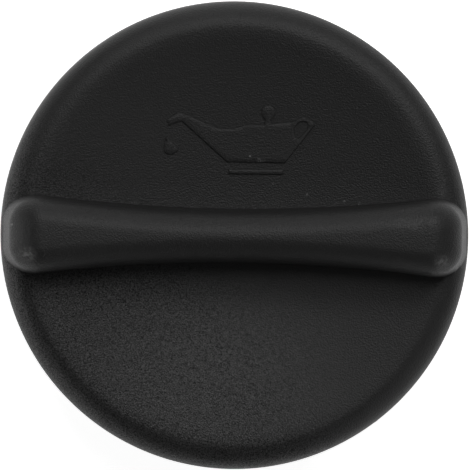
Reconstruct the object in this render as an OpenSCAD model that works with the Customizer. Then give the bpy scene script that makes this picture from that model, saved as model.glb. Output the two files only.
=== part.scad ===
/* [Cover] */
// Diameter of the cover at the lower edge of its skirt
cap_d = 66; // [62:1:78]
// Height from the lower edge of the skirt to the crest of the shoulder
cover_h = 11.5; // [10:0.1:14]
// Radius of the shoulder between the top and the skirt
shoulder_r = 3.6; // [3.4:0.2:5]
// Width of the flat ring on the crest, between the dish and the shoulder
crest_w = 0.5; // [0.2:0.1:1]
// Depth of the dished top below the crest
dish_depth = 2.6; // [1:0.1:3.2]
// Thickness of the top
top_wall = 2.2; // [1.8:0.1:2.4]
// Thickness of the skirt
skirt_wall = 2.2; // [1.6:0.1:2.6]
// Draft of the skirt, in degrees
skirt_draft = 1; // [0.25:0.25:2]
// Free height between the plug's flange and the middle of the dished top
head_gap = 0.7; // [0.5:0.1:1.5]
// Rounding of the skirt's lower edge
skirt_edge_r = 0.5; // [0.2:0.1:0.8]

/* [Grip bar] */
// Length of the bar at its foot
bar_len = 65.4; // [60:0.2:65.8]
// Width of the bar's foot at the waist
bar_waist_w = 7.4; // [7:0.1:9]
// Width of the bar's foot at its ends
bar_end_w = 11.4; // [9.6:0.1:13]
// Height of the bar's ends above the crest of the shoulder
bar_h = 8.1; // [6:0.1:12]
// Drop of the bar's back from its ends to its middle
bar_saddle = 0.9; // [0.2:0.1:1.5]
// Rounding of the bar's long edges
bar_edge_r = 2.8; // [1.5:0.1:4]
// Rounding of the bar's ends, seen from the side
bar_nose_r = 4.8; // [1.5:0.1:5.4]
// Rounding of the bar's corners, seen from above
bar_corner_r = 2.6; // [1.5:0.1:4]
// Draft of the bar's sides, in degrees
bar_side_draft = 5; // [1:0.5:6]
// Draft of the bar's end faces, in degrees
bar_nose_draft = 10; // [4:0.5:14]
// Wall around the hollow inside the bar
bar_wall = 1.9; // [1.4:0.1:2.2]
// Number of cross ribs inside the bar
bar_rib_count = 4; // [2:2:8]

/* [Socket under the cover] */
// Thickness of the ring wall that holds the plug
socket_wall = 1.5; // [1.2:0.1:1.8]
// Distance from the sealing plane up to the edge of the ring wall
socket_edge = 0.6; // [0.3:0.1:1]
// Width of the ring that the plug's flange seats on
seat_w = 2.5; // [2:0.1:3.5]
// Free width between the ring wall and the skirt
rib_space = 3.15; // [2.4:0.05:4]
// Number of stiffening ribs between the ring wall and the skirt
rib_count = 24; // [12:1:36]
// Thickness of a stiffening rib
rib_t = 1.1; // [0.8:0.1:1.6]
// Distance from the sealing plane up to the edge of a stiffening rib
rib_edge = 1.4; // [1:0.1:3]
// Number of snap beads that hold the plug
bead_count = 6; // [3:1:8]
// Arc that a snap bead covers, in degrees
bead_arc = 24; // [12:1:30]
// Reach of a snap bead under the plug's flange
bead_reach = 0.5; // [0.3:0.1:0.6]
// Number of keys that turn the plug
key_count = 3; // [2:1:4]
// Width of a key
key_w = 4; // [3:0.5:6]
// Depth of a key
key_depth = 1.6; // [1:0.1:2]

/* [Plug] */
// Thickness of the plug's flange
flange_t = 2.4; // [2:0.1:2.5]
// Chamfer on the flange's upper edge
flange_chamfer = 0.6; // [0.3:0.1:1]
// Width of the sealing flange around the spigot
seal_w = 8.5; // [7:0.1:10]
// Wall of the spigot at its root
spigot_wall = 2.6; // [2:0.1:3.5]
// Draft of the hollow in the spigot, in degrees
spigot_draft = 1; // [0.25:0.25:1.5]
// Length of the spigot below the sealing plane
spigot_len = 16; // [14:0.5:24]
// Chamfer at the spigot's mouth
spigot_chamfer = 0.8; // [0.3:0.1:1]
// Reach of the small ring that keeps the gasket on the spigot
keeper_reach = 0.6; // [0.3:0.1:0.8]
// Height of that ring
keeper_h = 1.2; // [0.8:0.1:2]
// Depth of the crossed webs inside the spigot
web_depth = 6; // [3:0.5:8]
// Thickness of the crossed webs
web_t = 1.4; // [1:0.1:2]
// Diameter of the round post where the webs cross
web_post_d = 6; // [4:0.5:8]

/* [Bayonet lugs] */
// Number of lugs
lug_count = 3; // [2:1:4]
// Distance that a lug stands out from the spigot
lug_reach = 2.4; // [1.5:0.1:3]
// Arc that a lug covers, in degrees
lug_arc = 40; // [32:1:50]
// Thickness of a lug
lug_t = 3.6; // [2.8:0.1:4.5]
// Distance from the sealing plane down to the top of a lug
lug_grip = 8; // [6:0.2:8.6]
// Chamfer on a lug's lower edge
lug_chamfer = 0.8; // [0.3:0.1:1.2]
// Arc of a lug's lead-in ramp, in degrees
lead_arc = 18; // [10:1:22]
// Slope of the lead-in ramp, in degrees
lead_slope = 12; // [6:0.5:15]
// Height of the stop at the end of a lug
stop_h = 2.4; // [1:0.1:3]
// Arc of the stop, in degrees
stop_arc = 6; // [4:0.5:8]

/* [Gasket] */
// Thickness of the gasket
gasket_t = 2.4; // [2:0.1:2.6]
// Distance of the gasket's rim inside the flange's rim
gasket_inset = 0.8; // [0.4:0.1:3]
// Rounding of the gasket's edges
gasket_edge_r = 0.5; // [0.2:0.1:0.7]
// Number of concentric grooves in the gasket's underside
groove_count = 2; // [1:1:3]
// Radius of a groove's round bottom
groove_r = 0.6; // [0.3:0.1:0.8]

/* [Hidden] */
$fn = 96;

// Free gap between pieces that are put together
fit_gap = 0.15;
// Overlap that joins two shapes of one piece
bite = 0.4;
// Facets of the arcs that have a very large radius, and of the smallest roundings
long_arc_fn = 256;
small_arc_fn = 48;
// Largest rounding of the bar's back, as shares of a full half round and of its height
round_share = 0.97;
height_share = 0.9;
// Largest radius of a groove, as a share of the distance between two grooves
groove_share = 0.4;
// Arc by which a cut runs past the start of a lug, in degrees
over_arc = 1;

// Heights, measured from the sealing plane at z = 0
flange_z = gasket_t;
flange_top_z = flange_z + flange_t;
crest_z = flange_top_z + head_gap + top_wall + dish_depth;
skirt_z = crest_z - cover_h;
shoulder_z = crest_z - shoulder_r;
lug_top_z = -lug_grip;
lug_low_z = lug_top_z - lug_t;
mouth_z = -spigot_len;
web_z = flange_z - web_depth;

// The skirt leans inwards by its draft up to the start of the shoulder
skirt_r = cap_d / 2;
skirt_in_r = skirt_r - skirt_wall;
shoulder_end_r = skirt_r - (shoulder_z - skirt_z) * tan(skirt_draft);
crest_r = shoulder_end_r - shoulder_r;

// The dish is part of a sphere that meets the flat ring on the crest
dish_edge_r = crest_r - crest_w;
dish_r = (dish_edge_r * dish_edge_r + dish_depth * dish_depth) / (2 * dish_depth);
dish_centre_z = crest_z - dish_depth + dish_r;

// The ring wall under the cover holds the plug, whose flange holds the gasket
socket_out_r = skirt_in_r - rib_space;
socket_r = socket_out_r - socket_wall;
flange_r = socket_r - fit_gap;
spigot_r = flange_r - seal_w;
hollow_r = spigot_r - spigot_wall;
gasket_r = flange_r - gasket_inset;

// Height of the cover's outside at distance r from the axis
function surface_z(r) =
    r < dish_edge_r
    ? dish_centre_z - sqrt(dish_r * dish_r - r * r)
    : shoulder_z + sqrt(max(0, shoulder_r * shoulder_r - pow(max(0, r - crest_r), 2)));

// The bar stands with its foot on the dish and is widest at its ends
bar_top_z = crest_z + bar_h;
bar_foot_z = crest_z - dish_depth;
bar_sink = top_wall / 2;
bar_end_x = bar_len / 2;
bar_corner_x = bar_end_x - bar_corner_r;
bar_flare = (bar_end_w - bar_waist_w) / 2;
waist_r = (bar_corner_x * bar_corner_x + bar_flare * bar_flare) / (2 * bar_flare);

// Stations along half of the bar, from its end to its middle: distance and height of the back
nose_steps = 7;
back_steps = 12;
edge_steps = 8;
nose_c_z = bar_top_z - bar_nose_r;
nose_c_x = bar_end_x
    - (nose_c_z + bar_nose_r * sin(bar_nose_draft) - shoulder_z) * tan(bar_nose_draft)
    - bar_nose_r * cos(bar_nose_draft);
function back_z(x) = bar_top_z - bar_saddle * (1 - pow(x / nose_c_x, 2));
half_stations = concat(
    [[bar_end_x, shoulder_z + bite]],
    [for (i = [0 : nose_steps])
        let (a = bar_nose_draft + (90 - bar_nose_draft) * i / nose_steps)
        [nose_c_x + bar_nose_r * cos(a), nose_c_z + bar_nose_r * sin(a)]],
    [for (i = [1 : back_steps])
        let (x = nose_c_x * (1 - i / back_steps))
        [x, back_z(x)]]
);

// Half the width of the bar's foot at distance x from the middle
function foot_half(x) =
    x <= bar_corner_x
    ? bar_waist_w / 2 + waist_r - sqrt(waist_r * waist_r - x * x)
    : bar_end_w / 2 - bar_corner_r + sqrt(max(0, bar_corner_r * bar_corner_r - pow(x - bar_corner_x, 2)));

// Section of the bar at one station: up one side, over the back and down the other side
function bar_section(x, top_z) =
    let (
        half = foot_half(x),
        draft = bar_side_draft,
        root_z = min(surface_z(norm([x, half])), top_z) - bar_sink,
        full_r = (half - (top_z - bar_foot_z) * tan(draft)) / (cos(draft) - tan(draft) * (1 - sin(draft))),
        r = min(bar_edge_r, round_share * full_r, height_share * (top_z - root_z)),
        centre = half - (top_z - r + r * sin(draft) - bar_foot_z) * tan(draft) - r * cos(draft),
        root = half + (bar_foot_z - root_z) * tan(draft),
        side = concat(
            [[root, root_z]],
            [for (i = [0 : edge_steps])
                let (a = draft + (90 - draft) * i / edge_steps)
                [centre + r * cos(a), top_z - r + r * sin(a)]]
        )
    )
    concat(side, [for (i = [len(side) - 1 : -1 : 0]) [-side[i][0], side[i][1]]]);

// Closed skin over a row of sections that all have the same number of points
module loft(sections) {
    rows = len(sections);
    n = len(sections[0]);
    points = [for (s = sections) for (p = s) p];
    sides = [for (j = [0 : rows - 2]) for (i = [0 : n - 1])
        let (k = (i + 1) % n, a = j * n + i, b = j * n + k, c = (j + 1) * n + k, d = (j + 1) * n + i)
        each [[a, b, c], [a, c, d]]];
    first = [[for (i = [n - 1 : -1 : 0]) i]];
    last = [[for (i = [0 : n - 1]) (rows - 1) * n + i]];
    polyhedron(points = points, faces = concat(sides, first, last), convexity = 4);
}

// The grip bar as one sculpted solid, sunk into the cover
module bar_body() {
    mirrored = [for (i = [len(half_stations) - 2 : -1 : 0]) [-half_stations[i][0], half_stations[i][1]]];
    loft([for (s = concat(half_stations, mirrored)) [for (p = bar_section(abs(s[0]), s[1])) [s[0], p[0], p[1]]]]);
}

// The hollow inside the bar follows its waist, is crossed by thin ribs and ends short of the plug's seat
cavity_z = bar_foot_z - top_wall - bite;
cavity_top_z = bar_top_z - bar_saddle - top_wall;
cavity_half = bar_waist_w / 2 - bar_wall - (cavity_top_z - bar_foot_z) * tan(bar_side_draft);
cavity_end_x = min(nose_c_x + bar_nose_r - bar_wall, flange_r - seat_w - bite);
module bar_cavity() {
    pitch = 2 * cavity_end_x / (bar_rib_count + 1);
    translate([0, 0, cavity_z])
        linear_extrude(cavity_top_z - cavity_z)
            difference() {
                square([2 * cavity_end_x, bar_end_w], center = true);
                for (s = [-1, 1])
                    translate([0, s * (waist_r + cavity_half)])
                        circle(r = waist_r, $fn = long_arc_fn);
                for (i = [1 : bar_rib_count])
                    translate([i * pitch - cavity_end_x, 0])
                        square([rib_t, 2 * bar_end_w], center = true);
            }
}

// Half section of the cover without its bar: top, shoulder, skirt and the ring that holds the plug
module cover_profile() {
    difference() {
        union() {
            translate([0, skirt_z]) square([crest_r, cover_h]);
            polygon([[0, skirt_z], [skirt_r, skirt_z], [shoulder_end_r, shoulder_z], [0, shoulder_z]]);
            intersection() {
                translate([crest_r, shoulder_z]) circle(r = shoulder_r);
                translate([crest_r - bite, shoulder_z - bite]) square(shoulder_r + 2 * bite);
            }
        }
        translate([0, dish_centre_z]) circle(r = dish_r, $fn = long_arc_fn);
        difference() {
            cover_inside_profile();
            translate([socket_r, socket_edge]) square([socket_wall, cover_h]);
            translate([flange_r - seat_w, flange_top_z]) square([seat_w + bite, cover_h]);
        }
        translate([skirt_r, skirt_z]) corner_round(skirt_edge_r);
        translate([-2 * dish_r, -dish_r]) square(2 * dish_r);
    }
}

// Space under the cover's top, with a rounded corner between the top and the skirt
module cover_inside_profile() {
    corner_r = shoulder_r - top_wall;
    difference() {
        union() {
            translate([0, skirt_z - bite]) square([skirt_in_r, shoulder_z - skirt_z + bite]);
            translate([0, skirt_z]) square([skirt_in_r - corner_r, cover_h]);
            translate([skirt_in_r - corner_r, shoulder_z]) circle(r = corner_r);
        }
        translate([0, dish_centre_z]) circle(r = dish_r + top_wall, $fn = long_arc_fn);
    }
}

// Waste that leaves a lower outer corner at the origin with a round edge
module corner_round(r) {
    difference() {
        translate([-r, -r]) square(2 * r);
        translate([-r, r]) circle(r = r, $fn = small_arc_fn);
        translate([-2 * r, 0]) square([r, r]);
    }
}

// Thin radial ribs between the ring wall and the skirt
module skirt_ribs() {
    translate([0, 0, rib_edge])
        linear_extrude(shoulder_z + shoulder_r - top_wall + bite - rib_edge)
            intersection() {
                difference() {
                    circle(r = skirt_in_r + bite);
                    circle(r = socket_out_r - bite);
                }
                for (i = [0 : rib_count - 1])
                    rotate(360 * (i + 0.5) / rib_count)
                        translate([0, -rib_t / 2])
                            square([skirt_r, rib_t]);
            }
}

// Short beads that snap under the plug's flange, between the keys
module snap_beads() {
    low_z = socket_edge + fit_gap;
    top_z = flange_z - fit_gap;
    for (i = [0 : bead_count - 1])
        rotate(360 * (i + 0.5) / bead_count - bead_arc / 2)
            rotate_extrude(angle = bead_arc)
                polygon([
                    [socket_r + bite, low_z],
                    [socket_r - bead_reach, low_z + (top_z - low_z) / 2],
                    [socket_r - bead_reach, top_z],
                    [socket_r + bite, top_z]
                ]);
}

// Outline of the keys, from above; side_gap widens it to the slots in the flange
module key_outline(side_gap) {
    intersection() {
        difference() {
            circle(r = socket_r + bite);
            circle(r = socket_r - key_depth - side_gap);
        }
        for (i = [0 : key_count - 1])
            rotate(360 * i / key_count)
                translate([0, -key_w / 2 - side_gap])
                    square([skirt_r, key_w + 2 * side_gap]);
    }
}

module grip_cover() color("#1b1b1d") {
    difference() {
        union() {
            rotate_extrude() cover_profile();
            bar_body();
        }
        bar_cavity();
    }
    skirt_ribs();
    snap_beads();
    translate([0, 0, flange_z])
        linear_extrude(flange_top_z - flange_z + bite)
            key_outline(0);
}

// Half section of the plug: flange, spigot and the ring that keeps the gasket
module plug_profile() {
        polygon([
            [0, flange_top_z],
            [0, web_z],
            [hollow_r, web_z],
            [hollow_r + (web_z - mouth_z) * tan(spigot_draft), mouth_z],
            [spigot_r - spigot_chamfer, mouth_z],
            [spigot_r, mouth_z + spigot_chamfer],
            [spigot_r, -fit_gap - keeper_h],
            [spigot_r + keeper_reach, -fit_gap],
            [spigot_r, -fit_gap],
            [spigot_r, flange_z],
            [flange_r, flange_z],
            [flange_r, flange_top_z - flange_chamfer],
            [flange_r - flange_chamfer, flange_top_z]
        ]);
}

// One lug, from the open end of its lead-in ramp at angle 0 to its stop
module bayonet_lug() {
    difference() {
        rotate_extrude(angle = lug_arc)
            polygon([
                [spigot_r - bite, lug_low_z],
                [spigot_r + lug_reach - lug_chamfer, lug_low_z],
                [spigot_r + lug_reach, lug_low_z + lug_chamfer],
                [spigot_r + lug_reach, lug_top_z + stop_h],
                [spigot_r - bite, lug_top_z + stop_h]
            ]);
        rotate(-over_arc)
            rotate_extrude(angle = over_arc + lug_arc - stop_arc)
                translate([spigot_r - 2 * bite, lug_top_z])
                    square([2 * lug_reach, 2 * stop_h]);
        rotate(lead_arc)
            translate([0, 0, lug_top_z])
                rotate([lead_slope, 0, 0])
                    translate([hollow_r, -spigot_r, 0])
                        cube([spigot_r, spigot_r + lug_reach, lug_t]);
    }
}

// Pockets in the closed end of the spigot leave crossed webs and a round post between them
module web_pockets() {
    translate([0, 0, web_z - bite])
        linear_extrude(web_depth + bite)
            difference() {
                circle(r = hollow_r - bite);
                circle(d = web_post_d);
                for (i = [0 : lug_count - 1])
                    rotate(180 * i / lug_count)
                        square([2 * spigot_r, web_t], center = true);
            }
}

module bayonet_plug() color("#232325") {
    difference() {
        rotate_extrude() plug_profile();
        translate([0, 0, flange_z - bite])
            linear_extrude(flange_t + 2 * bite)
                key_outline(fit_gap);
        web_pockets();
    }
    for (i = [0 : lug_count - 1])
        rotate(360 * i / lug_count)
            bayonet_lug();
}

// Flat rubber ring with round edges and shallow grooves that divide its sealing face
module sealing_gasket() color("#2b2b2b") {
    inner_r = spigot_r + fit_gap;
    ring_w = gasket_r - inner_r;
    groove_pitch = ring_w / (groove_count + 1);
    rotate_extrude()
        difference() {
            union() {
                translate([inner_r + gasket_edge_r, 0]) square([ring_w - 2 * gasket_edge_r, gasket_t]);
                translate([inner_r, gasket_edge_r]) square([ring_w, gasket_t - 2 * gasket_edge_r]);
                for (x = [inner_r + gasket_edge_r, gasket_r - gasket_edge_r])
                    for (z = [gasket_edge_r, gasket_t - gasket_edge_r])
                        translate([x, z]) circle(r = gasket_edge_r);
            }
            for (i = [1 : groove_count])
                translate([inner_r + groove_pitch * i, 0])
                    circle(r = min(groove_r, groove_share * groove_pitch));
        }
}

grip_cover();
bayonet_plug();
sealing_gasket();
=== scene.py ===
"""Looks of an oil filler cap: black moulded cover with a grip bar, bayonet plug and rubber gasket."""
import math

import bpy
import mathutils
import numpy as np
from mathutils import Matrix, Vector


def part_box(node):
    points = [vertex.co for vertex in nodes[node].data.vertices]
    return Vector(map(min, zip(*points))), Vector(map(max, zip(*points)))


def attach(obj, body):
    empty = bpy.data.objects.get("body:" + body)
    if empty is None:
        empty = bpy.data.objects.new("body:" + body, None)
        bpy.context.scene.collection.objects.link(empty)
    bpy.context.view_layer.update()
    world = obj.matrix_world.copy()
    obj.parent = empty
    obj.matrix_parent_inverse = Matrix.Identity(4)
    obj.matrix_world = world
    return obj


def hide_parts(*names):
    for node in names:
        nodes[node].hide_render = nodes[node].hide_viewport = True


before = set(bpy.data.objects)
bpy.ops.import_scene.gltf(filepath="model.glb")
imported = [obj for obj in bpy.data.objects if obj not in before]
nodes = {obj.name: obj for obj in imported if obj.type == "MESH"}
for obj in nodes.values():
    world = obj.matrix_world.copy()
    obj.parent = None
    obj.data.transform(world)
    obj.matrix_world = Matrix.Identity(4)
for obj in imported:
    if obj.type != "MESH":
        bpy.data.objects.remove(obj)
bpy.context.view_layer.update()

# Lengths in this script are millimetres, and MM turns them into metres
MM = 0.001

# Sizes read from the frame; the cover's skin stays a little inside the solid's box
cover_low, cover_high = (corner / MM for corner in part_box("grip_cover"))
plug_low, _ = (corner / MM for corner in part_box("bayonet_plug"))
SKIN_INSET = 0.01
SKIRT_R = cover_high.x - SKIN_INSET
SKIRT_Z = cover_low.z
BAR_TOP_Z = cover_high.z
FLOOR_Z = plug_low.z

# Cover, with the sizes of the part's source, and a soft edge between crest and dish
COVER_H = 11.5
SHOULDER_R = 3.6
CREST_W = 0.5
DISH_DEPTH = 2.6
SKIRT_WALL = 2.2
SKIRT_DRAFT = math.radians(1)
SKIRT_EDGE_R = 0.5
CREST_BLEND = 0.2

# Grip bar, whose sides, back and ends are shaped more finely than in the part's source: the back is
# crowned across, and near each end it bends down to a slope and then turns over the nose's radius
BAR_LEN = 65.4
BAR_WAIST_W = 7.6
BAR_END_W = 11.4
BAR_SADDLE = 0.9
BAR_EDGE_R = 3.2
BAR_CROWN = 0.4
BAR_NOSE_R = 2.3
BAR_NOSE_REACH = 5.6
BAR_NOSE_BEND = 1.5
BAR_NOSE_SLOPE = 0.4
BAR_CORNER_R = 4.6
BAR_SIDE_DRAFT = math.radians(3)
BAR_NOSE_DRAFT = math.radians(7.5)
ROUND_SHARE = 0.97

# Worked out from the sizes above
CREST_Z = SKIRT_Z + COVER_H
SHOULDER_Z = CREST_Z - SHOULDER_R
SHOULDER_END_R = SKIRT_R - (SHOULDER_Z - SKIRT_Z) * math.tan(SKIRT_DRAFT)
CREST_R = SHOULDER_END_R - SHOULDER_R
DISH_EDGE_R = CREST_R - CREST_W
DISH_R = (DISH_EDGE_R**2 + DISH_DEPTH**2) / (2 * DISH_DEPTH)
DISH_CENTRE_Z = CREST_Z - DISH_DEPTH + DISH_R
BAR_FOOT_Z = CREST_Z - DISH_DEPTH
BAR_END_X = BAR_LEN / 2
BAR_FLARE = (BAR_END_W - BAR_WAIST_W) / 2
BAR_CORNER_X = BAR_END_X - BAR_CORNER_R
WAIST_R = (BAR_CORNER_X**2 + BAR_FLARE**2) / (2 * BAR_FLARE)
NOSE_C_Z = BAR_TOP_Z - BAR_NOSE_R
NOSE_C_X = (
    BAR_END_X
    - (NOSE_C_Z + BAR_NOSE_R * math.sin(BAR_NOSE_DRAFT) - SHOULDER_Z) * math.tan(BAR_NOSE_DRAFT)
    - BAR_NOSE_R * math.cos(BAR_NOSE_DRAFT)
)
SKIRT_IN_R = SKIRT_R - SKIRT_WALL

# The camera leans a little to the far side and to the left, and is turned a little about its view;
# VIEW_W is the width that it sees at the height of CAMERA_AIM
CAMERA_LEAN = math.radians(1)
CAMERA_SWAY = math.radians(1)
CAMERA_TURN = math.radians(0.57)
CAMERA_AIM = (0.17, -0.06, SKIRT_Z + SKIRT_EDGE_R)
VIEW_W = 66.42
LENS = 700.0
SENSOR_W = 36.0

# Floor: half its side, its gap under the cap, and how bright the camera and reflections see it
FLOOR_HALF = 2000.0
FLOOR_GAP = 0.02
FLOOR_SEEN = 0.85
FLOOR_MIRRORED = 0.5

# Softboxes: diameter of the small and the wide ones in metres
SMALL_BOX = 0.32
WIDE_BOX = 0.5

# Grain: its flecks of gloss grow stronger along a direction, between two distances from the origin
FLECK_SIZE = 0.2
FLECK_DIRECTION = (-0.7, -0.7, -2)
FLECK_FROM = -14
FLECK_TO = -4
FLECK_LEAST = 0.15

# Slow changes of roughness over the surface
CLOUD_SIZE = 7
CLOUD_DEPTH = 0.01

# Dust, painted highlights and painted sheen: colour, and size of the patches in them
DUST_AND_SHEEN_GREY = (0.16, 0.16, 0.16)
DUST_AND_SHEEN_PATCH_SIZE = 0.5

# Marks on the cover, each with its middle, reach and amount: painted sheen on the near half, painted
# highlights on the bar, a lighter patch on the crest and specks of dust
DUST_AND_SHEEN_MARKS = [
    # Painted sheen: the near half of the dish made lighter
    ((-2.0, -17.5, 8.5), (20.0, 13.0, 8.0), 0.13),
    # Painted highlights at the near corners of the bar's two ends
    ((-29.0, -2.6, 17.2), (1.6, 1.2, 2.5), 0.5),
    ((28.7, -3.2, 16.8), (1.4, 1.2, 2.5), 0.5),
    # Painted highlight along the back of the bar, on its far side near the right end
    ((25.0, 1.9, 18.0), (4.5, 1.6, 2.0), 0.12),
    # A lighter patch on the crest beside the right end of the bar
    ((28.8, 6.3, 10.2), (0.9, 1.6, 2.0), 0.12),
    # Specks of dust
    ((2.0, 11.2, 8.1), (0.22, 0.22, 1.0), 1.0),
    ((5.3, 7.4, 8.0), (0.25, 0.25, 1.0), 1.0),
    ((10.1, 5.9, 8.2), (0.22, 0.22, 1.0), 1.0),
    ((15.3, 5.0, 8.8), (0.22, 0.22, 1.0), 0.8),
    ((-31.3, 1.4, 15.0), (0.25, 0.25, 3.0), 1.0),
]

# Distance between the points of the cover's skin, and the angle from which its edges stay sharp
SKIN_STEP = 0.33
SKIN_SHARP = math.radians(35)

# Faces of the solid that lie deeper than this under the outside belong to the underside
INNER_DEPTH = 1.0

# How far from a flat or a wall a point may lie and still belong to it
FLAT_SLACK = 0.02
WALL_SLACK = 0.05

# Small gate mark on the rim: direction, reach, half width, height of its middle, half height, fillet
NUB_ANGLE = math.radians(-52)
NUB_REACH = 0.22
NUB_HALF_W = 0.45
NUB_Z = SKIRT_Z + 1
NUB_HALF_H = 0.5
NUB_FILLET = 0.15

# Raised sign: its height over the dish and depth below it, edge, and the spacing of inner points
SIGN_H = 0.22
SIGN_SINK = 0.06
SIGN_EDGE_R = 0.06
SIGN_FLARE = 0.04
SIGN_GRID = 0.6
SIGN_MARGIN = 0.15
SIGN_SHARP = math.radians(60)


def round_max(a, b, r):
    """Intersection of two fields whose common edge is rounded by r."""
    corner = np.hypot(np.maximum(r + a, 0), np.maximum(r + b, 0))
    return np.minimum(-r, np.maximum(a, b)) + corner


def round_min(a, b, r):
    """Union of two fields whose common corner is filled by a fillet of r."""
    corner = np.hypot(np.maximum(r - a, 0), np.maximum(r - b, 0))
    return np.maximum(r, np.minimum(a, b)) - corner


def soft_max(a, b, width):
    """Intersection of two nearly parallel fields, blended over a small difference."""
    h = np.maximum(width - np.abs(a - b), 0) / width
    return np.maximum(a, b) + h * h * width / 4


def smooth_step(x, low, high):
    """Rises smoothly from 0 at low to 1 at high."""
    t = np.clip((x - low) / (high - low), 0, 1)
    return t * t * (3 - 2 * t)


def side_field(x, y, z):
    """Distance to the cone of the drafted skirt."""
    r = np.hypot(x, y)
    return (r - SKIRT_R + (z - SKIRT_Z) * math.tan(SKIRT_DRAFT)) * math.cos(SKIRT_DRAFT)


def disc_field(x, y, z):
    """Distance to the cover's disc: dished top, round shoulder and drafted side."""
    body = round_max(side_field(x, y, z), z - CREST_Z, SHOULDER_R)
    dish = DISH_R - np.sqrt(x**2 + y**2 + (z - DISH_CENTRE_Z) ** 2)
    return soft_max(body, dish, CREST_BLEND)


def bar_field(x, y, z):
    """Distance to the grip bar: waisted sides, saddle back, drafted ends, all edges rounded."""
    ax = np.abs(x)
    foot = BAR_WAIST_W / 2 + WAIST_R - np.sqrt(WAIST_R**2 - np.minimum(ax, BAR_END_X) ** 2)
    lean = math.tan(BAR_SIDE_DRAFT)
    side = (np.abs(y) - foot + (z - BAR_FOOT_Z) * lean) * math.cos(BAR_SIDE_DRAFT)
    end = (ax - BAR_END_X + (z - SHOULDER_Z) * math.tan(BAR_NOSE_DRAFT)) * math.cos(BAR_NOSE_DRAFT)
    nose_x = BAR_END_X - BAR_NOSE_REACH
    back_z = BAR_TOP_Z - BAR_SADDLE * (1 - np.minimum(ax / nose_x, 1) ** 2)
    past = np.clip(ax - nose_x, 0, BAR_NOSE_REACH)
    bend = np.minimum(past, BAR_NOSE_BEND)
    back_z -= BAR_NOSE_SLOPE * (bend**2 / (2 * BAR_NOSE_BEND) + past - bend)
    back_z -= BAR_CROWN * np.minimum(np.abs(y) / foot, 1) ** 2
    half = foot - (back_z - BAR_FOOT_Z) * lean
    full_r = half / (math.cos(BAR_SIDE_DRAFT) - lean * (1 - math.sin(BAR_SIDE_DRAFT)))
    long_r = np.minimum(BAR_EDGE_R, ROUND_SHARE * full_r)
    edge_r = long_r + (BAR_NOSE_R - long_r) * smooth_step(ax, NOSE_C_X - BAR_NOSE_R, NOSE_C_X + BAR_NOSE_R)
    outline = round_max(side, end, BAR_CORNER_R)
    return round_max(outline, z - back_z, edge_r)


def nub_field(x, y, z):
    """Distance to the small gate mark on the skirt."""
    r = np.hypot(x, y)
    along = np.abs(np.arctan2(y, x) - NUB_ANGLE) * SKIRT_R
    plan = np.maximum(r - SKIRT_R - NUB_REACH, along - NUB_HALF_W)
    return np.maximum(plan, np.abs(z - NUB_Z) - NUB_HALF_H)


def cover_field(x, y, z):
    """Distance to the outside of the cover, closed by a flat bottom."""
    body = np.minimum(disc_field(x, y, z), bar_field(x, y, z))
    body = np.maximum(body, side_field(x, y, z))
    body = round_min(body, nub_field(x, y, z), NUB_FILLET)
    return round_max(body, SKIRT_Z - z, SKIRT_EDGE_R)


def surface_nets(field, low, high, step):
    """Quads over the zero level of a field: one point in each grid cell that the surface crosses."""
    axes = [np.arange(a, b + step, step) for a, b in zip(low, high)]
    value = field(*np.meshgrid(*axes, indexing="ij"))
    inside = value < 0
    cells = tuple(n - 1 for n in value.shape)
    total = np.zeros(cells + (3,))
    count = np.zeros(cells)
    corners = [(i, j, k) for i in (0, 1) for j in (0, 1) for k in (0, 1)]
    for start in corners:
        for axis in range(3):
            if start[axis]:
                continue
            end = tuple(c + (n == axis) for n, c in enumerate(start))
            a, b = (
                value[tuple(slice(c, c + n) for c, n in zip(corner, cells))]
                for corner in (start, end)
            )
            crossed = (a < 0) != (b < 0)
            share = np.where(crossed, a / np.where(crossed, a - b, 1), 0)
            for n in range(3):
                total[..., n] += np.where(crossed, start[n] + (share if n == axis else 0), 0)
            count += crossed
    active = count > 0
    number = np.full(cells, -1)
    number[active] = np.arange(active.sum())
    origin = np.array([a[0] for a in axes])
    cell_low = origin + np.argwhere(active) * step
    points = cell_low + total[active] / count[active][:, None] * step
    quads = []
    for axis in range(3):
        one, two = [n for n in range(3) if n != axis]
        near = [slice(1, n) for n in cells]
        far = [slice(1, n) for n in cells]
        near[axis] = slice(0, cells[axis])
        far[axis] = slice(1, cells[axis] + 1)
        here = inside[tuple(near)]
        there = inside[tuple(far)]
        crossing = np.argwhere(here != there)
        shift = np.array([0 if n == axis else 1 for n in range(3)])
        cell = crossing + shift
        around = []
        for d_one, d_two in ((-1, -1), (0, -1), (0, 0), (-1, 0)):
            at = cell.copy()
            at[:, one] += d_one
            at[:, two] += d_two
            around.append(number[tuple(at.T)])
        quad = np.stack(around, axis=1)
        flip = here[tuple(crossing.T)] == (axis == 1)
        quad[flip] = quad[flip][:, ::-1]
        quads.append(quad)
    return points, np.concatenate(quads), cell_low


def slope_of(field, points, h=0.01):
    """Gradient of a field at each point."""
    x, y, z = points.T
    return np.stack(
        [
            field(x + h, y, z) - field(x - h, y, z),
            field(x, y + h, z) - field(x, y - h, z),
            field(x, y, z + h) - field(x, y, z - h),
        ],
        axis=1,
    ) / (2 * h)


def settle(field, points, rounds=8):
    """Moves points along the field's gradient until they lie on its zero level."""
    for _ in range(rounds):
        slope = slope_of(field, points)
        size = np.maximum((slope**2).sum(axis=1), 0.2)
        points = points - slope * (field(*points.T) / size)[:, None]
    return points


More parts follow.
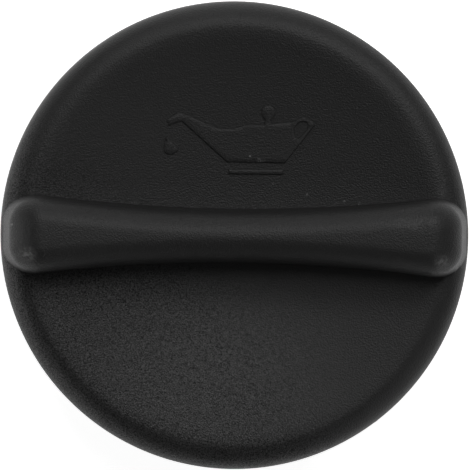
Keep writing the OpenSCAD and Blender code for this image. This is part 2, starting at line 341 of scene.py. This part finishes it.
def crisp_corner(first, second, points, cell_low, step, rounds=12):
    """Moves the points of the cells that the corner between two fields crosses onto that corner."""
    near = (np.abs(first(*points.T)) < 2 * step) & (np.abs(second(*points.T)) < 2 * step)
    moved = points[near]
    for _ in range(rounds):
        a, b = first(*moved.T), second(*moved.T)
        u, v = slope_of(first, moved), slope_of(second, moved)
        uu, uv, vv = (u * u).sum(axis=1), (u * v).sum(axis=1), (v * v).sum(axis=1)
        part = np.maximum(uu * vv - uv * uv, 0.01)
        move = u * ((a * vv - b * uv) / part)[:, None] + v * ((b * uu - a * uv) / part)[:, None]
        size = np.maximum(np.linalg.norm(move, axis=1), 1e-9)
        moved = moved - move * np.minimum(1, step / size)[:, None]
    slack = 0.02 * step
    low = cell_low[near]
    hit = ((moved > low - slack) & (moved < low + step + slack)).all(axis=1)
    hit &= (np.abs(first(*moved.T)) < slack) & (np.abs(second(*moved.T)) < slack)
    index = np.flatnonzero(near)[hit]
    points = points.copy()
    points[index] = moved[hit]
    return points


def link_mesh(name, points_mm, faces):
    """A new object in the scene from points in millimetres and faces."""
    mesh = bpy.data.meshes.new(name)
    mesh.from_pydata((np.asarray(points_mm) * MM).tolist(), [], [[int(i) for i in face] for face in faces])
    mesh.validate()
    obj = bpy.data.objects.new(name, mesh)
    bpy.context.scene.collection.objects.link(obj)
    return obj


def open_bottom(points, quads):
    """Takes the flat bottom out of the closed outside, up to the inner wall of the skirt."""
    centre = points[quads].mean(axis=1)
    centre_r = np.hypot(centre[:, 0], centre[:, 1])
    flat = (centre[:, 2] < SKIRT_Z + FLAT_SLACK) & (centre_r < SKIRT_IN_R + SKIN_STEP)
    quads = quads[~flat]
    used = np.unique(quads)
    renumber = np.full(len(points), -1)
    renumber[used] = np.arange(len(used))
    points = points[used]
    quads = renumber[quads]
    r = np.hypot(points[:, 0], points[:, 1])
    edge = (points[:, 2] < SKIRT_Z + FLAT_SLACK) & (r < SKIRT_IN_R + 2 * SKIN_STEP)
    points[edge, :2] *= (SKIRT_IN_R / r[edge])[:, None]
    return points, quads


def underside_of(node_name):
    """Points and faces of a solid's underside, taken from a copy of its mesh."""
    obj = nodes[node_name]
    mesh = obj.data
    points = np.array([obj.matrix_world @ v.co for v in mesh.vertices]) / MM
    faces = [list(p.vertices) for p in mesh.polygons]
    centre = np.array([points[f].mean(axis=0) for f in faces])
    x, y, z = centre.T
    depth = np.minimum(disc_field(x, y, z), bar_field(x, y, z))
    foot = (z < SKIRT_Z + FLAT_SLACK) & (np.hypot(x, y) > SKIRT_IN_R - WALL_SLACK)
    keep = (depth < -INNER_DEPTH) & ~foot
    faces = [f for f, k in zip(faces, keep) if k]
    used = np.unique(np.concatenate(faces))
    renumber = np.full(len(points), -1)
    renumber[used] = np.arange(len(used))
    return points[used], [[renumber[i] for i in f] for f in faces]


def make_cover_skin():
    """Smooth outside of the cover, joined with the solid's underside."""
    margin = 2 * SKIN_STEP
    reach = SKIRT_R + NUB_REACH + margin
    low = (-reach, -reach, SKIRT_Z - margin)
    high = (reach, reach, BAR_TOP_Z + margin)
    points, quads, cell_low = surface_nets(cover_field, low, high, SKIN_STEP)
    points = settle(cover_field, points)
    points = crisp_corner(disc_field, bar_field, points, cell_low, SKIN_STEP)
    points, quads = open_bottom(points, quads)
    inner_points, inner_faces = underside_of("grip_cover")
    start = len(points)
    faces = quads.tolist() + [[start + i for i in f] for f in inner_faces]
    obj = link_mesh("grip_cover_skin", np.concatenate([points, inner_points]), faces)
    mesh = obj.data
    for polygon in mesh.polygons:
        polygon.use_smooth = True
    mesh.set_sharp_from_angle(angle=SKIN_SHARP)
    return obj


def dish_z(x, y):
    """Height of the dish."""
    return DISH_CENTRE_Z - np.sqrt(DISH_R**2 - x**2 - y**2)


def inset(ring, distance):
    """The ring of points moved inwards, to the left of its direction, by a distance."""
    ring = np.asarray(ring, float)
    before = ring - np.roll(ring, 1, axis=0)
    after = np.roll(ring, -1, axis=0) - ring
    before /= np.linalg.norm(before, axis=1)[:, None]
    after /= np.linalg.norm(after, axis=1)[:, None]
    left = np.stack([-(before + after)[:, 1], (before + after)[:, 0]], axis=1)
    left /= np.maximum(np.linalg.norm(left, axis=1), 1e-6)[:, None]
    half_cos = np.clip((left * np.stack([-before[:, 1], before[:, 0]], axis=1)).sum(axis=1), 0.5, 1)
    return ring + left * (distance / half_cos)[:, None]


def dense(ring, step=0.25):
    """The ring with extra points on its long sides."""
    out = []
    for a, b in zip(ring, list(ring[1:]) + [ring[0]]):
        a, b = np.asarray(a, float), np.asarray(b, float)
        count = max(1, int(np.linalg.norm(b - a) / step))
        out += [a + (b - a) * i / count for i in range(count)]
    return out


def smooth_ring(ring, rounds=2):
    """The ring with its corners cut, so that a rough outline turns into a curve."""
    ring = [np.asarray(p, float) for p in ring]
    for _ in range(rounds):
        nxt = ring[1:] + [ring[0]]
        ring = [p for a, b in zip(ring, nxt) for p in (a * 0.75 + b * 0.25, a * 0.25 + b * 0.75)]
    return ring


def area_of(ring):
    """Area inside a ring, positive where it runs to the left."""
    ring = np.asarray(ring)
    nxt = np.roll(ring, -1, axis=0)
    return 0.5 * (ring[:, 0] * nxt[:, 1] - nxt[:, 0] * ring[:, 1]).sum()


def inside_of(ring, points):
    """Which of the points lie inside a ring."""
    ring = np.asarray(ring)
    nxt = np.roll(ring, -1, axis=0)
    result = np.zeros(len(points), bool)
    for (x0, y0), (x1, y1) in zip(ring, nxt):
        crosses = (y0 > points[:, 1]) != (y1 > points[:, 1])
        with np.errstate(divide="ignore", invalid="ignore"):
            at = x0 + (points[:, 1] - y0) * (x1 - x0) / (y1 - y0)
        result ^= crosses & (points[:, 0] < at)
    return result


def sign_piece(name, outline, holes=()):
    """A thin raised plate on the dish, with steep sides and slightly rounded edges."""
    rings = []
    for ring, turn in [(outline, 1)] + [(hole, -1) for hole in holes]:
        ring = dense(ring)
        rings.append(ring if area_of(ring) * turn > 0 else ring[::-1])
    profile = [
        (-SIGN_FLARE, -SIGN_SINK),
        (0.0, SIGN_H - SIGN_EDGE_R),
        (SIGN_EDGE_R * 0.3, SIGN_H - SIGN_EDGE_R * 0.3),
        (SIGN_EDGE_R, SIGN_H),
    ]
    points = []
    faces = []
    tops = []
    for ring in rings:
        n = len(ring)
        start = len(points)
        for distance, height in profile:
            moved = inset(ring, distance)
            points += [(x, y, dish_z(x, y) + height) for x, y in moved]
        for row in range(len(profile) - 1):
            for i in range(n):
                k = (i + 1) % n
                a = start + row * n
                b = a + n
                faces.append((a + i, a + k, b + k, b + i))
        tops.append((inset(ring, profile[-1][0]), start + (len(profile) - 1) * n))
    outer = tops[0][0]
    low, high = outer.min(axis=0), outer.max(axis=0)
    xs, ys = np.meshgrid(np.arange(low[0], high[0], SIGN_GRID), np.arange(low[1], high[1], SIGN_GRID))
    fill = np.stack([xs.ravel(), ys.ravel()], axis=1)
    fill = fill[inside_of(inset(outer, SIGN_MARGIN), fill)]
    for ring, _ in tops[1:]:
        fill = fill[~inside_of(inset(ring, -SIGN_MARGIN)[::-1], fill)]
    flat = np.concatenate([ring for ring, _ in tops] + [fill])
    numbers = [first + i for ring, first in tops for i in range(len(ring))]
    edges = []
    done = 0
    for ring, _ in tops:
        n = len(ring)
        edges += [(done + i, done + (i + 1) % n) for i in range(n)]
        done += n
    first_fill = len(points)
    points += [(x, y, dish_z(x, y) + SIGN_H) for x, y in fill]
    numbers += list(range(first_fill, first_fill + len(fill)))
    result = mathutils.geometry.delaunay_2d_cdt([mathutils.Vector(p) for p in flat], edges, [], 0, 1e-5)
    out_points, _, triangles, origins, _, _ = result
    for tri in triangles:
        centre = np.mean([[out_points[i].x, out_points[i].y] for i in tri], axis=0)[None, :]
        if not inside_of(outer, centre)[0]:
            continue
        if any(inside_of(ring, centre)[0] for ring, _ in tops[1:]):
            continue
        ids = [numbers[origins[i][0]] for i in tri]
        faces.append(tuple(ids))
    obj = link_mesh(name, points, faces)
    for polygon in obj.data.polygons:
        polygon.use_smooth = True
    obj.data.set_sharp_from_angle(angle=SIGN_SHARP)
    return obj


def arc_points(cx, cy, r, start, end, count=14):
    """Points on an arc; its angles are in degrees."""
    return [
        (cx + r * math.cos(math.radians(a)), cy + r * math.sin(math.radians(a)))
        for a in np.linspace(start, end, count)
    ]


def make_sign():
    """Oil can with a lid knob and a handle hole, a drop at its spout and a base line."""
    can = [
        (-9.45, 15.40), (-7.69, 16.07), (-1.24, 10.36), (6.88, 10.28), (11.03, 15.63),
        (10.62, 16.10), (10.10, 16.48), (9.40, 16.62), (8.75, 16.42), (8.10, 16.02),
        (7.60, 15.92), (5.82, 15.78), (4.95, 15.66), (4.80, 16.30),
        *arc_points(4.50, 17.30, 0.98, -55, 235),
        (4.15, 16.30), (4.00, 15.58), (3.17, 15.50), (2.20, 15.52), (1.23, 15.42),
        (0.40, 15.20), (-0.36, 14.98), (-1.30, 14.92), (-2.30, 14.96), (-3.01, 15.12),
        (-4.40, 15.72), (-6.39, 16.63), (-7.40, 17.02), (-8.04, 17.13), (-8.50, 16.95), (-9.68, 16.12),
    ]
    handle = smooth_ring([
        (8.29, 15.49), (8.82, 16.02), (9.62, 16.19), (10.15, 15.75), (10.06, 15.05),
        (9.35, 14.16), (8.73, 13.54), (8.29, 13.90), (8.12, 14.78),
    ], 1)
    drop = smooth_ring([
        (-9.80, 13.85), (-10.05, 12.80), (-10.05, 11.70), (-9.55, 11.25), (-8.70, 11.40),
        (-8.00, 11.95), (-8.45, 12.60), (-9.20, 13.15),
    ], 1)
    base = [(-0.96, 8.65), (6.67, 8.65), (6.67, 9.27), (-0.96, 9.27)]
    return [
        sign_piece("sign_can", can, [handle]),
        sign_piece("sign_drop", drop),
        sign_piece("sign_base", base),
    ]


def node_of(tree, kind, **settings):
    """A new shader node with some of its settings."""
    node = tree.nodes.new(kind)
    for name, value in settings.items():
        setattr(node, name, value)
    return node


def math_of(tree, operation, first, second):
    """Output of a math node; each input is a number or another node's output."""
    node = node_of(tree, "ShaderNodeMath", operation=operation)
    for socket, value in zip(node.inputs, (first, second)):
        if isinstance(value, (int, float)):
            socket.default_value = value
        else:
            tree.links.new(value, socket)
    return node.outputs[0]


def noise_of(tree, coords, size_mm, detail):
    """Noise in object space, whose grains are about size_mm across."""
    noise = node_of(tree, "ShaderNodeTexNoise")
    noise.inputs["Scale"].default_value = 1 / (size_mm * MM)
    noise.inputs["Detail"].default_value = detail
    tree.links.new(coords, noise.inputs["Vector"])
    return noise.outputs["Fac"]


def range_of(tree, value, from_low, from_high, to_low, to_high):
    """A value moved from one range to another and held inside it."""
    node = node_of(tree, "ShaderNodeMapRange")
    tree.links.new(value, node.inputs["Value"])
    node.inputs["From Min"].default_value = from_low
    node.inputs["From Max"].default_value = from_high
    node.inputs["To Min"].default_value = to_low
    node.inputs["To Max"].default_value = to_high
    return node.outputs["Result"]


def mark_of(tree, coords, mark):
    """How strongly a mark covers each point: its amount inside, 0 outside. The marks are specks of dust,
    painted highlights and a painted sheen.
    """
    place, reach, amount = mark
    move = node_of(tree, "ShaderNodeVectorMath", operation="SUBTRACT")
    move.inputs[1].default_value = [v * MM for v in place]
    scale = node_of(tree, "ShaderNodeVectorMath", operation="DIVIDE")
    scale.inputs[1].default_value = [v * MM for v in reach]
    size = node_of(tree, "ShaderNodeVectorMath", operation="LENGTH")
    tree.links.new(coords, move.inputs[0])
    tree.links.new(move.outputs[0], scale.inputs[0])
    tree.links.new(scale.outputs[0], size.inputs[0])
    return range_of(tree, size.outputs["Value"], 0.2, 1.0, amount, 0.0)


def white_floor():
    """Pale floor that keeps the cap's shadow; the camera and reflections see it as white."""
    half = FLOOR_HALF
    z = FLOOR_Z - FLOOR_GAP
    corners = [(-half, -half, z), (half, -half, z), (half, half, z), (-half, half, z)]
    obj = link_mesh("floor", corners, [(0, 1, 2, 3)])
    material = bpy.data.materials.new("floor_white")
    material.use_nodes = True
    tree = material.node_tree
    tree.nodes.clear()
    out = tree.nodes.new("ShaderNodeOutputMaterial")
    paper = tree.nodes.new("ShaderNodeBsdfDiffuse")
    paper.inputs["Color"].default_value = (0.8, 0.8, 0.8, 1)
    glow = tree.nodes.new("ShaderNodeEmission")
    path = tree.nodes.new("ShaderNodeLightPath")
    both = tree.nodes.new("ShaderNodeAddShader")
    seen = math_of(tree, "MULTIPLY", path.outputs["Is Camera Ray"], FLOOR_SEEN)
    mirrored = math_of(tree, "MAXIMUM", path.outputs["Is Glossy Ray"], path.outputs["Is Transmission Ray"])
    strength = math_of(tree, "MAXIMUM", seen, math_of(tree, "MULTIPLY", mirrored, FLOOR_MIRRORED))
    tree.links.new(strength, glow.inputs["Strength"])
    tree.links.new(paper.outputs[0], both.inputs[0])
    tree.links.new(glow.outputs[0], both.inputs[1])
    tree.links.new(both.outputs[0], out.inputs["Surface"])
    obj.data.materials.append(material)


def fleck_gloss(tree, coords, specular, flecks):
    """Specular level with fine flecks, which are strongest on the worn side."""
    side = node_of(tree, "ShaderNodeVectorMath", operation="DOT_PRODUCT")
    side.inputs[1].default_value = FLECK_DIRECTION
    tree.links.new(coords, side.inputs[0])
    least = FLECK_LEAST * flecks
    worn = range_of(tree, side.outputs["Value"], FLECK_FROM * MM, FLECK_TO * MM, least, flecks)
    fleck = range_of(tree, noise_of(tree, coords, FLECK_SIZE, 1), 0.25, 0.75, -1, 1)
    gain = math_of(tree, "ADD", math_of(tree, "MULTIPLY", worn, fleck), 1.0)
    return math_of(tree, "MULTIPLY", gain, specular)


def dust_and_sheen_colour(tree, coords, colour, marks):
    """The plastic's colour, covered by patchy grey at the marks: specks of dust, painted highlights and a
    painted sheen.
    """
    cover = 0.0
    for mark in marks:
        cover = math_of(tree, "ADD", mark_of(tree, coords, mark), cover)
    patchy = range_of(tree, noise_of(tree, coords, DUST_AND_SHEEN_PATCH_SIZE, 3), 0.4, 0.62, 0.15, 1.0)
    mix = node_of(tree, "ShaderNodeMix", data_type="RGBA")
    mix.inputs["A"].default_value = (*colour, 1)
    mix.inputs["B"].default_value = (*DUST_AND_SHEEN_GREY, 1)
    tree.links.new(math_of(tree, "MULTIPLY", cover, patchy), mix.inputs["Factor"])
    return mix.outputs["Result"]


def plastic(name, colour, roughness, specular, grain_size, grain_depth, flecks=0.0, marks=()):
    """Moulded plastic with a fine eroded grain, uneven gloss, and at the marks specks of dust, painted
    highlights and a painted sheen.
    """
    material = bpy.data.materials.new(name)
    material.use_nodes = True
    tree = material.node_tree
    shader = tree.nodes["Principled BSDF"]
    coords = node_of(tree, "ShaderNodeTexCoord").outputs["Object"]
    bump = node_of(tree, "ShaderNodeBump")
    bump.inputs["Distance"].default_value = grain_depth * MM
    tree.links.new(noise_of(tree, coords, grain_size, 2), bump.inputs["Height"])
    tree.links.new(bump.outputs["Normal"], shader.inputs["Normal"])
    cloud = noise_of(tree, coords, CLOUD_SIZE, 4)
    least, most = roughness - CLOUD_DEPTH, roughness + CLOUD_DEPTH
    tree.links.new(range_of(tree, cloud, 0.3, 0.7, least, most), shader.inputs["Roughness"])
    if flecks:
        tree.links.new(fleck_gloss(tree, coords, specular, flecks), shader.inputs["Specular IOR Level"])
    else:
        shader.inputs["Specular IOR Level"].default_value = specular
    if marks:
        tree.links.new(dust_and_sheen_colour(tree, coords, colour, marks), shader.inputs["Base Color"])
    else:
        shader.inputs["Base Color"].default_value = (*colour, 1)
    return material


def cover_plastic():
    """Black plastic of the cover, with its grain worn on the near side."""
    black = (0.0093, 0.0093, 0.0093)
    # The marks paint a sheen on the near half and highlights on the bar, and add specks of dust
    return plastic(
        "cover_finish", black, roughness=0.48, specular=0.333,
        grain_size=0.22, grain_depth=0.08, flecks=0.95, marks=DUST_AND_SHEEN_MARKS,
    )


def inner_finish(node_name):
    """Plainer dark finish of a piece that the cover hides from above."""
    dark = (0.02, 0.02, 0.02)
    return plastic(
        node_name + "_finish", dark, roughness=0.5, specular=0.4,
        grain_size=0.3, grain_depth=0.01,
    )


def softbox(name, azimuth, elevation, size, power):
    """A round softbox 1 m from the cap, both angles in degrees; +X is 0 and +Y is 90."""
    data = bpy.data.lights.new(name, "AREA")
    data.shape = "DISK"
    data.size = size
    data.energy = power
    obj = bpy.data.objects.new(name, data)
    bpy.context.scene.collection.objects.link(obj)
    a, e = math.radians(azimuth), math.radians(elevation)
    obj.location = (math.cos(e) * math.cos(a), math.cos(e) * math.sin(a), math.sin(e))
    obj.rotation_euler = (-obj.location).to_track_quat("-Z", "Y").to_euler()


def lights():
    """A wide key from the far side, a weak top light and low fills; each has its power in watts."""
    softbox("key_left", 110, 45, SMALL_BOX, 1.72)
    softbox("key_middle", 70, 58, SMALL_BOX, 0.72)
    softbox("key_right", 45, 45, SMALL_BOX, 2.29)
    softbox("key_high", 90, 72, SMALL_BOX, 1.5)
    softbox("top", 0, 90, WIDE_BOX, 0.22)
    softbox("fill_far", 90, 10, WIDE_BOX, 1.09)
    softbox("fill_left", 180, 10, WIDE_BOX, 1.9)
    softbox("fill_near_left", 225, 10, WIDE_BOX, 1.41)
    softbox("fill_near_right", 315, 30, WIDE_BOX, 1.47)
    world = bpy.data.worlds.new("world")
    bpy.context.scene.world = world
    world.use_nodes = True
    back = world.node_tree.nodes["Background"]
    back.inputs["Color"].default_value = (1, 1, 1, 1)
    back.inputs["Strength"].default_value = 0.0


def camera():
    """A long lens that looks down on the cap and sees a width of VIEW_W."""
    turn = mathutils.Matrix.Rotation(CAMERA_TURN, 3, "Z")
    turn @= mathutils.Matrix.Rotation(-CAMERA_LEAN, 3, "X")
    turn @= mathutils.Matrix.Rotation(-CAMERA_SWAY, 3, "Y")
    aim = mathutils.Vector(CAMERA_AIM) * MM
    data = bpy.data.cameras.new("camera")
    data.lens = LENS
    data.sensor_width = SENSOR_W
    obj = bpy.data.objects.new("camera", data)
    bpy.context.scene.collection.objects.link(obj)
    obj.location = aim + turn @ mathutils.Vector((0, 0, VIEW_W * LENS / SENSOR_W * MM))
    obj.rotation_euler = turn.to_euler()
    bpy.context.scene.camera = obj


cover_finish = cover_plastic()
skin = make_cover_skin()
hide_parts("grip_cover")
for piece in [skin] + make_sign():
    piece.data.materials.append(cover_finish)
    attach(piece, "root")
for node_name in ("bayonet_plug", "sealing_gasket"):
    nodes[node_name].data.materials.clear()
    nodes[node_name].data.materials.append(inner_finish(node_name))

white_floor()
lights()
camera()

bpy.context.scene.view_settings.view_transform = "Standard"
